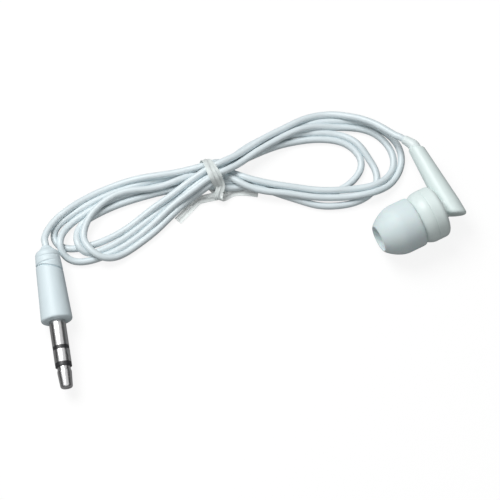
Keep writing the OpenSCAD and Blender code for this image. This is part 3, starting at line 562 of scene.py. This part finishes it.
plugSize = {"grip": 6.6, "gripBack": 5.6, "shank": 1.75, "insulator": 1.73, "point": 14.6,
    "rod": 0.34, "tubes": (1.08, 0.8, 0.54), "gap": 0.01,  # radii inside, and the gap between two
    "bands": (5.6, 6.4, 9.2, 10)}  # where the sleeve, the black rings and the ring between them end
grooves = {  # place along the grip, how far it slants, depth and width; the short ones' middle and half angle
    "seam": {"at": -11.75, "slant": 0.75, "deep": 0.34, "wide": 0.17},
    "left": {"at": -12.45, "slant": 0.22, "deep": 0.2, "wide": 0.17, "middle": 2.2, "half": 1.1},
    "high": {"at": -14.1, "slant": 0, "deep": 0.12, "wide": 0.2, "middle": 1.45, "half": 0.9},
}


def gripDent(p, a):
    # the seam between collar and body runs all round and slants by a cosine; each short groove slants evenly
    # and fades out at its ends, and the deepest one counts
    seam = grooves["seam"]
    deepest = seam["deep"] * np.exp(-((p - seam["at"] - seam["slant"] * np.cos(a)) / seam["wide"]) ** 4)
    for short in (grooves["left"], grooves["high"]):
        off = p - short["at"] + short["slant"] * (3.14 - a)
        fade = np.exp(-((a - short["middle"]) / short["half"]) ** 4)
        deepest = np.maximum(deepest, short["deep"] * fade * np.exp(-(off / short["wide"]) ** 2))
    return deepest


def drawGrip(size):
    # a flared neck, the collar and the body as one widening line, a rounded front, and the room inside; only
    # the points of the outside are dented
    front, back, edge = size["grip"] / 2, size["gripBack"] / 2, 0.5
    t = np.linspace(0, np.pi / 2, 8)
    neck = [(-gripLong, 0.95), (-16.75, 1.02), (-16.5, 1.16), (-16.25, 1.34), (-16, 1.58), (-15.8, 1.82),
        (-15.62, 2.06), (-15.45, 2.28), (-15.25, 2.44), (-15, 2.54)]
    along = np.r_[np.linspace(-14.9, -10.4, 110), np.linspace(-10.2, -0.6, 36)]
    body = np.c_[along, np.interp(along, [-15, -11.9, -0.6], [2.56, back, front])]
    outside = np.vstack([neck, body, np.c_[-edge + edge * np.sin(t), front - edge + edge * np.cos(t)]])
    inside = [(0, 1.46), (-0.8, 1.46), (-0.8, 2.31), (-1.6, 2.31), (-1.6, 2.01), (-9.2, 2.01), (-9.2, 0.78),
        (-gripLong, 0.78)]
    return turned("plugGrip", np.vstack([outside, inside]), plugFront, plugWay, 128, sharp=45,
        dent=lambda p, a: np.where(np.arange(len(p))[:, None] < len(outside), gripDent(p, a), 0))


def drawContact(name, profile, rounding):
    # a closed profile with softened corners, turned about the plug's axis
    return turned(name, soften(profile, rounding), plugFront, plugWay, 96, sharp=50)


def drawBand(name, tube, start, end, radius, rounding):
    # a band on the shank and the tube inside that carries it; the tube is its start, inner and outer radius
    back, inner, outer = tube
    return drawContact(name, [(back, inner), (back, outer), (start, outer), (start, radius), (end, radius),
        (end, inner)], rounding)


def drawPoint(size):
    # the rod inside, the notch behind the bulge, the taper, and a nose rounded by a quarter circle
    end, edge, rod, start = size["point"], 0.5, size["rod"], size["bands"][-1]
    t = np.linspace(0, np.pi / 2, 10)
    nose = np.c_[end - edge + edge * np.sin(t), 1.3 - edge + edge * np.cos(t)]
    body = [(-6.8, 0), (-6.8, rod), (start, rod), (start, 1.38), (10.5, 1.38), (10.64, 1.39), (10.9, 1.46),
        (11.0, 1.49), (11.15, 1.5), (11.5, 1.49)]
    return turned("plugPoint", np.vstack([body, nose, [(end, 0)]]), plugFront, plugWay, 96, False, 50)


def drawPlug(size):
    # sleeve, ring and the black ring after each, all flush on the shank, then the point
    out, dark, gap = size["shank"], size["insulator"], size["gap"]
    wide, middle, narrow = size["tubes"]
    a, b, c, d = size["bands"]
    sleeve = drawContact("plugSleeve", [(-3.2, wide + gap), (-3.2, 1.45), (-1.6, 1.45), (-1.6, 2.3),
        (-0.8, 2.3), (-0.8, 1.45), (0, 1.45), (0, out), (a, out), (a, wide + gap)], 0.05)
    darkA = drawBand("sleeveInsulator", (-3.6, middle + gap, wide), a, b, dark, 0.02)
    ring = drawBand("plugRing", (-4.8, narrow + gap, middle), b, c, out, 0.05)
    darkB = drawBand("pointInsulator", (-6, size["rod"] + gap, narrow), c, d, dark, 0.02)
    return sleeve, darkA, ring, darkB, drawPoint(size)


plugGrip = drawGrip(plugSize)
plugSleeve, sleeveInsulator, plugRing, pointInsulator, plugPoint = drawPlug(plugSize)
print("plug drawn")


# twist tie

tieSize = {"width": 1.8, "film": 0.12, "wire": 0.24, "step": 0.12}
tieRoute = [  # x, y, height and the width direction at each point, from the short tail to the long one
    (-26.5, 16.4, 0.2, 0.5, 0.85, 0), (-28.2, 17.6, 0.2, 0.55, 0.8, 0), (-29.8, 18.5, 0.2, 0.5, 0.85, 0),
    (-31.3, 19.0, 0.25, 0.2, 0.97, 0), (-32.9, 18.8, 0.7, 0.1, 0.9, 0.4), (-33.9, 18.5, 1.2, 0.2, 0.4, 0.9),
    (-34.6, 18.4, 1.4, 0.5, -0.6, 0.6), (-34.8, 18.9, 2.0, 0.9, 0, 0.3), (-34.3, 19.6, 2.5, 1, -0.2, 0),
    (-33.4, 20.5, 2.9, 1, -0.4, 0), (-33.2, 21.3, 3.5, 1, -0.4, 0), (-33.2, 22.2, 4.62, 1, -0.2, 0),
    (-33.3, 23.2, 4.98, 1, 0, 0), (-33.4, 24.3, 4.88, 1, 0, 0), (-33.4, 25.3, 4.65, 1, -0.1, 0),
    (-33.5, 26.7, 3.75, 1, -0.2, 0), (-33.5, 27.5, 2.5, 1, -0.3, 0), (-33.4, 27.4, 1.2, 1, -0.3, 0),
    (-33.2, 26.8, 0.4, 1, -0.2, 0), (-32.9, 25.4, 0.22, 1, 0, 0), (-32.9, 22.4, 0.22, 1, 0, 0),
    (-33, 20.3, 0.3, 1, -0.5, 0), (-33.3, 19.65, 1.1, 1, -0.7, 0), (-33.7, 20.3, 2.1, 1, -0.6, 0),
    (-33.9, 21.1, 3.5, 1, -0.4, 0), (-34.1, 22.1, 4.75, 1, -0.2, 0), (-34.1, 23.2, 5.15, 1, 0, 0),
    (-34, 24.4, 5.05, 1, 0, 0), (-33.8, 25.6, 4.78, 1, -0.1, 0), (-33.6, 26.9, 3.85, 1, -0.2, 0),
    (-33.6, 27.7, 2.5, 1, -0.3, 0), (-33.9, 27.7, 1.2, 1, -0.3, 0), (-34.4, 27.1, 0.4, 1, -0.2, 0),
    (-34.7, 25.4, 0.22, 1, 0, 0), (-34.7, 22.8, 0.22, 1, 0, 0), (-34.6, 21.4, 0.35, 1, -0.4, 0),
    (-34.4, 20.5, 0.8, 1, -0.2, 0.2), (-34.3, 19.8, 1.3, 0.8, 0.2, 0.6), (-34.5, 19.4, 1.5, 0.1, 0.8, 0.6),
    (-35.2, 19.6, 1.1, -0.2, 1, 0.5), (-36.2, 20.1, 0.6, -0.1, 1, 0.4), (-37.4, 20.5, 0.3, 0, 1, 0.2),
    (-38.8, 20.7, 0.24, 0.1, 1, 0), (-41.4, 19.8, 0.21, 0.38, 0.93, 0), (-44.7, 18.55, 0.21, 0.38, 0.93, 0)]


def drawTie(size):
    # a strip that swells over its wire by a bell curve, and the wire along its middle
    line = curveThrough(tieRoute, size["step"])
    half = size["width"] / 2
    w = np.linspace(-half, half, 25)
    thick = size["film"] / 2 + (size["wire"] / 2 + 0.01) * np.exp(-(w / 0.2) ** 2)
    outline = np.vstack([np.c_[w, thick], np.c_[w, -thick][::-1]])
    film = ribbon("tieFilm", line[:, :3], line[:, 3:], outline)
    a = np.linspace(0, 2 * np.pi, 10, endpoint=False)
    wire = ribbon("tieWire", line[:, :3], line[:, 3:], size["wire"] / 2 * np.c_[np.cos(a), np.sin(a)])
    return film, wire


tieFilm, tieWire = drawTie(tieSize)
print("tie drawn")


# finishes

class Flow:
    # one socket of a material; sums, differences and products on it add Math nodes, and node() adds any
    # other node
    def __init__(self, tree, socket=None):
        self.tree = tree
        self.socket = socket

    def node(self, kind, inputs=None, out=0, **settings):
        made = self.tree.nodes.new("ShaderNode" + kind)
        for key, value in settings.items():
            setattr(made, key, value)
        for key, value in (inputs or {}).items():
            if isinstance(value, Flow):
                self.tree.links.new(value.socket, made.inputs[key])
            else:
                made.inputs[key].default_value = value
        return Flow(self.tree, made.outputs[out] if len(made.outputs) else None)

    def math(self, operation, *values):
        return self.node("Math", dict(enumerate(values)), operation=operation)

    def __add__(self, other):
        return self.math("ADD", self, other)

    def __sub__(self, other):
        return self.math("SUBTRACT", self, other)

    def __rsub__(self, other):
        return self.math("SUBTRACT", other, self)

    def __mul__(self, other):
        return self.math("MULTIPLY", self, other)

    __radd__ = __add__
    __rmul__ = __mul__


def noise(place, size, detail, stretch=(1, 1, 1)):
    # soft noise from 0 to 1 whose features are about size millimetres; stretch makes them longer one way
    scale = tuple(1 / (k * size * mm) for k in stretch)
    spot = place.node("VectorMath", {0: place, 1: scale}, operation="MULTIPLY")
    return place.node("TexNoise", {"Vector": spot, "Scale": 1.0, "Detail": detail})


def tone(factor, dark, light):
    # a colour between the two
    return factor.node("Mix", {0: factor, 6: (*dark, 1), 7: (*light, 1)}, 2, data_type="RGBA")


def grain(height, depth):
    # a surface direction from a height of 0 to 1 that stands for depth millimetres
    return height.node("Bump", {"Height": height, "Strength": 1.0, "Distance": depth * mm})


def finish(name, look, detail):
    # fixed values sit on the shader; detail gives what varies over the surface
    made = bpy.data.materials.new(name)
    made.use_nodes = True
    tree = made.node_tree
    shader = tree.nodes["Principled BSDF"]
    for key, value in look.get("fixed", {}).items():
        shader.inputs[key].default_value = value
    place = Flow(tree).node("TexCoord", out="Object")
    for key, value in detail(place, look).items():
        tree.links.new(value.socket, shader.inputs[key])
    made.diffuse_color = (*look["light"], 1)
    return made


def mottled(place, look):
    # two near tones in soft patches, a roughness that drifts, and a fine skin
    patch = noise(place, look["patch"], 3)
    fine = noise(place, look["fine"], 2, look.get("stretch", (1, 1, 1)))
    low, high = look["rough"]
    blend = fine + 0.6 * (patch - fine)
    return {"Base Color": tone(patch, look["dark"], look["light"]), "Roughness": low + (high - low) * blend,
        "Normal": grain(fine, look["depth"])}


def plated(place, look):
    # fine turning lines round an axis: noise of the distance along it
    along = place.node("VectorMath", {0: place, 1: look["axis"]}, "Value", operation="DOT_PRODUCT")
    rings = place.node("TexNoise", {"W": along * (1 / (look["fine"] * mm)), "Scale": 1.0, "Detail": 3.0},
        noise_dimensions="1D")
    patch = noise(place, look["patch"], 2)
    low, high = look["rough"]
    return {"Base Color": tone(patch, look["dark"], look["light"]), "Roughness": low + (high - low) * rings,
        "Normal": grain(rings, look["depth"])}


def woundShadedGrooves(place, look):
    # round wires side by side along an axis; the colour darkens towards the groove between two wires, which
    # is painted shade that follows the bump's height
    along = place.node("VectorMath", {0: place, 1: look["axis"]}, "Value", operation="DOT_PRODUCT")
    angle = along * (2 * math.pi / (look["fine"] * mm))
    height = 0.5 + 0.5 * angle.math("SINE", angle)
    # the height that bumps the wires also darkens the colour in the grooves: painted shade
    return {"Base Color": tone(height, look["dark"], look["light"]), "Normal": grain(height, look["depth"])}


def crumpled(place, look):
    # clear film: long creases and a few milky patches
    patch = noise(place, look["patch"], 3)
    crease = noise(place, look["fine"], 4, look["stretch"])
    return {"Base Color": tone(patch, look["dark"], look["light"]), "Roughness": 0.2 + 0.25 * crease,
        "Alpha": look["seeThrough"] + 0.25 * patch, "Normal": grain(crease, look["depth"])}


plugAxis = tuple(float(k) for k in plugWay)
finishes = {
    "silicone_tip": (mottled, {"dark": (0.64, 0.74, 0.755), "light": (0.7, 0.8, 0.81), "patch": 3,
        "fine": 0.12, "rough": (0.45, 0.6), "depth": 0.004,
        "fixed": {"Subsurface Weight": 0.1, "Subsurface Scale": 0.001, "IOR": 1.41}}),
    "shell_plastic": (mottled, {"dark": (0.7, 0.8, 0.79), "light": (0.76, 0.86, 0.845), "patch": 4,
        "fine": 0.2, "rough": (0.34, 0.46), "depth": 0.003, "fixed": {"IOR": 1.5}}),
    "relief_pvc": (mottled, {"dark": (0.72, 0.8, 0.8), "light": (0.79, 0.87, 0.87), "patch": 2, "fine": 0.1,
        "rough": (0.36, 0.5), "depth": 0.004, "fixed": {"IOR": 1.5}}),
    "cord_pvc": (mottled, {"dark": (0.65, 0.735, 0.765), "light": (0.72, 0.8, 0.83), "patch": 5, "fine": 0.15,
        "rough": (0.32, 0.46), "depth": 0.006, "fixed": {"IOR": 1.5}}),
    "plug_plastic": (mottled, {"dark": (0.64, 0.745, 0.785), "light": (0.7, 0.8, 0.835), "patch": 3,
        "fine": 0.14, "rough": (0.42, 0.56), "depth": 0.004, "fixed": {"IOR": 1.5}}),
    "mould_plastic": (mottled, {"dark": (0.62, 0.62, 0.58), "light": (0.7, 0.7, 0.66), "patch": 2,
        "fine": 0.15, "rough": (0.4, 0.6), "depth": 0.006}),
    "plug_nickel": (plated, {"dark": (0.50, 0.50, 0.505), "light": (0.58, 0.58, 0.585), "patch": 2.5,
        "fine": 0.05, "rough": (0.22, 0.34), "depth": 0.001, "axis": plugAxis, "fixed": {"Metallic": 1.0}}),
    "plug_black": (mottled, {"dark": (0.012, 0.012, 0.014), "light": (0.03, 0.03, 0.034), "patch": 1,
        "fine": 0.1, "rough": (0.3, 0.5), "depth": 0.004}),
    "steel_mesh": (mottled, {"dark": (0.42, 0.43, 0.44), "light": (0.6, 0.61, 0.62), "patch": 0.8,
        "fine": 0.06, "rough": (0.3, 0.45), "depth": 0.004, "stretch": (1, 1, 12),
        "fixed": {"Metallic": 1.0}}),
    "plated_steel": (mottled, {"dark": (0.46, 0.47, 0.5), "light": (0.6, 0.61, 0.63), "patch": 1.5,
        "fine": 0.06, "rough": (0.28, 0.45), "depth": 0.003, "stretch": (1, 8, 1),
        "fixed": {"Metallic": 1.0}}),
    "magnet_nickel": (mottled, {"dark": (0.42, 0.43, 0.45), "light": (0.52, 0.53, 0.55), "patch": 1.2,
        "fine": 0.1, "rough": (0.2, 0.34), "depth": 0.002, "fixed": {"Metallic": 1.0}}),
    # the copper wire's dark tone is painted shade in the grooves between its turns
    "copper_wire": (woundShadedGrooves, {"dark": (0.22, 0.07, 0.02), "light": (0.66, 0.3, 0.12),
        "fine": 0.06, "depth": 0.02, "axis": (1, 0, 0), "fixed": {"Metallic": 1.0, "Roughness": 0.3}}),
    "clear_film": (crumpled, {"dark": (0.62, 0.58, 0.46), "light": (0.74, 0.7, 0.58), "patch": 1.5,
        "fine": 0.25, "stretch": (1, 1, 1), "depth": 0.01, "seeThrough": 0.6}),
    "dark_foam": (mottled, {"dark": (0.015, 0.015, 0.016), "light": (0.07, 0.07, 0.075), "patch": 0.15,
        "fine": 0.08, "rough": (0.75, 0.95), "depth": 0.06}),
    "frame_plastic": (mottled, {"dark": (0.02, 0.02, 0.022), "light": (0.05, 0.05, 0.054), "patch": 1.5,
        "fine": 0.12, "rough": (0.45, 0.65), "depth": 0.006}),
    "damping_paper": (mottled, {"dark": (0.58, 0.56, 0.48), "light": (0.72, 0.7, 0.63), "patch": 0.4,
        "fine": 0.1, "rough": (0.8, 0.95), "depth": 0.02, "stretch": (1, 1, 6)}),
    "board_green": (mottled, {"dark": (0.01, 0.09, 0.035), "light": (0.02, 0.16, 0.06), "patch": 1,
        "fine": 0.15, "rough": (0.2, 0.35), "depth": 0.004}),
    "solder": (mottled, {"dark": (0.5, 0.51, 0.52), "light": (0.7, 0.71, 0.72), "patch": 0.4, "fine": 0.1,
        "rough": (0.18, 0.35), "depth": 0.01, "fixed": {"Metallic": 1.0}}),
    "red_lead": (mottled, {"dark": (0.34, 0.015, 0.01), "light": (0.5, 0.03, 0.02), "patch": 0.6,
        "fine": 0.08, "rough": (0.3, 0.45), "depth": 0.004}),
    "copper_lead": (mottled, {"dark": (0.4, 0.16, 0.06), "light": (0.68, 0.34, 0.16), "patch": 0.5,
        "fine": 0.06, "rough": (0.25, 0.4), "depth": 0.008, "fixed": {"Metallic": 1.0}}),
    "crimp_metal": (mottled, {"dark": (0.46, 0.44, 0.38), "light": (0.62, 0.6, 0.52), "patch": 0.8,
        "fine": 0.08, "rough": (0.28, 0.42), "depth": 0.006, "fixed": {"Metallic": 1.0}}),
    "tie_film": (crumpled, {"dark": (0.81, 0.88, 0.87), "light": (0.92, 0.97, 0.96), "patch": 1.6,
        "fine": 0.3, "stretch": (1, 1, 1), "depth": 0.02, "seeThrough": 0.5}),
    "tie_steel": (mottled, {"dark": (0.34, 0.35, 0.36), "light": (0.5, 0.51, 0.52), "patch": 0.6,
        "fine": 0.08, "rough": (0.35, 0.5), "depth": 0.004, "fixed": {"Metallic": 1.0}}),
}
materials = {}
for slot, (detail, look) in finishes.items():
    materials[slot] = finish(slot, look, detail)
for part in frame["record"]["subparts"]:
    mesh = frame["nodes"][part["node"]].data
    mesh.materials.clear()
    mesh.materials.append(materials[part["material_slot"]])
print("finishes made:", len(materials))


# what each piece stands for

pieces = [
    (cord, "earpiece", "cord_pvc", ["cord_lead_earpiece", "cord_hank", "cord_lead_plug"]),
    (earTip, "ear_tip", "silicone_tip", ["ear_tip"]),
    (frontShell, "earpiece", "shell_plastic", ["front_shell"]),
    (rearShell, "earpiece", "shell_plastic", ["rear_shell"]),
    (strainRelief, "earpiece", "relief_pvc", ["strain_relief"]),
    (plugGrip, "earpiece", "plug_plastic", ["plug_grip"]),
    (plugSleeve, "earpiece", "plug_nickel", ["plug_sleeve"]),
    (sleeveInsulator, "earpiece", "plug_black", ["sleeve_insulator"]),
    (plugRing, "earpiece", "plug_nickel", ["plug_ring"]),
    (pointInsulator, "earpiece", "plug_black", ["point_insulator"]),
    (plugPoint, "earpiece", "plug_nickel", ["plug_point"]),
    (tieFilm, "earpiece", "tie_film", ["tie_film"]),
    (tieWire, "earpiece", "tie_steel", ["tie_wire"]),
]
for piece, body, slot, stands in pieces:
    piece.data.materials.clear()
    piece.data.materials.append(materials[slot])
    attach(piece, body)
    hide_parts(*stands)
print("pieces placed:", len(pieces))


# floor, light and background

studio = {"floor": 1500, "bounce": 0.3, "shown": 0.14, "glow": 0.87, "mirrorShown": 0.25, "mirrorGlow": 0.05,
    "world": 0.26, "wall": (260, 150), "wallNear": 150, "wallTone": 0.04}
lamps = {
    "keyLamp": {"at": (-150, 320, 500), "size": 330, "watts": 3.2},
    "fillLamp": {"at": (-200, -300, 420), "size": 420, "watts": 0.3},
}


def seenBy(tree, *kinds):
    # 1 for a ray of any of the kinds, and 0 for the others
    rays = [Flow(tree).node("LightPath", out=f"Is {kind} Ray") for kind in kinds]
    seen = rays[0]
    for ray in rays[1:]:
        seen = seen.math("MAXIMUM", seen, ray)
    return seen


def grey(value):
    # an opaque grey
    return (value, value, value, 1)


def drawFloor(look):
    # a square under the object, with one tone for light that bounces, one for mirrors and one to be seen
    half = look["floor"] / 2
    corners = np.array([(-half, -half, 0), (half, -half, 0), (half, half, 0), (-half, half, 0)])
    floor = makeMesh("floor", corners, np.array([[0, 1, 2, 3]]))
    made = bpy.data.materials.new("floor")
    made.use_nodes = True
    tree = made.node_tree
    tree.nodes.clear()
    surface = Flow(tree).node("BsdfDiffuse", {"Color": grey(look["bounce"])})
    for which, shown, glow in [(seenBy(tree, "Glossy"), "mirrorShown", "mirrorGlow"),
            (seenBy(tree, "Camera", "Transmission"), "shown", "glow")]:
        lit = which.node("BsdfDiffuse", {"Color": grey(look[shown])})
        white = which.node("AddShader", {0: lit, 1: which.node("Emission", {"Strength": look[glow]})})
        surface = which.node("MixShader", {0: which, 1: surface, 2: white})
    surface.node("OutputMaterial", {"Surface": surface})
    floor.data.materials.append(made)


def drawWall(look):
    # a low dark wall all round that only mirrors show, as the flags round a studio table do; it comes nearer
    # on the right, by a squared cosine
    around, high = look["wall"]
    wall = turned("wall", [(0, around), (high, around)], np.array(cameraView["aim"]), upward, 96, False,
        dent=lambda p, a: look["wallNear"] * np.maximum(np.cos(a - 1.1), 0) ** 2)
    shade = grey(look["wallTone"])[:3]
    wall.data.materials.append(finish("wall", {"dark": shade, "light": shade, "patch": 40, "fine": 10,
        "rough": (0.8, 0.9), "depth": 0.01}, mottled))
    wall.visible_camera = False
    wall.visible_diffuse = False
    wall.visible_transmission = False
    wall.visible_shadow = False


def lightWorld(look):
    # a soft light from all sides that the camera, mirrors and glass see as plain white
    world = bpy.data.worlds.new("studio")
    scene.world = world
    world.use_nodes = True
    tree = world.node_tree
    tree.nodes.clear()
    seen = seenBy(tree, "Camera", "Glossy", "Transmission")
    soft = seen.node("Background", {"Color": grey(1), "Strength": look["world"]})
    white = seen.node("Background", {"Color": grey(1), "Strength": 1.0})
    surface = seen.node("MixShader", {0: seen, 1: soft, 2: white})
    surface.node("OutputWorld", {"Surface": surface})


def placeLamp(name, look):
    # a square lamp that faces the camera's aim point
    lamp = bpy.data.lights.new(name, "AREA")
    lamp.shape = "SQUARE"
    lamp.size = look["size"] * mm
    lamp.energy = look["watts"]
    made = bpy.data.objects.new(name, lamp)
    made.location = Vector(look["at"]) * mm
    aim = Vector(cameraView["aim"]) * mm
    made.rotation_euler = (aim - made.location).to_track_quat("-Z", "Y").to_euler()
    scene.collection.objects.link(made)


drawFloor(studio)
drawWall(studio)
lightWorld(studio)
for name, look in lamps.items():
    placeLamp(name, look)
print("studio set")

bpy.context.view_layer.update()
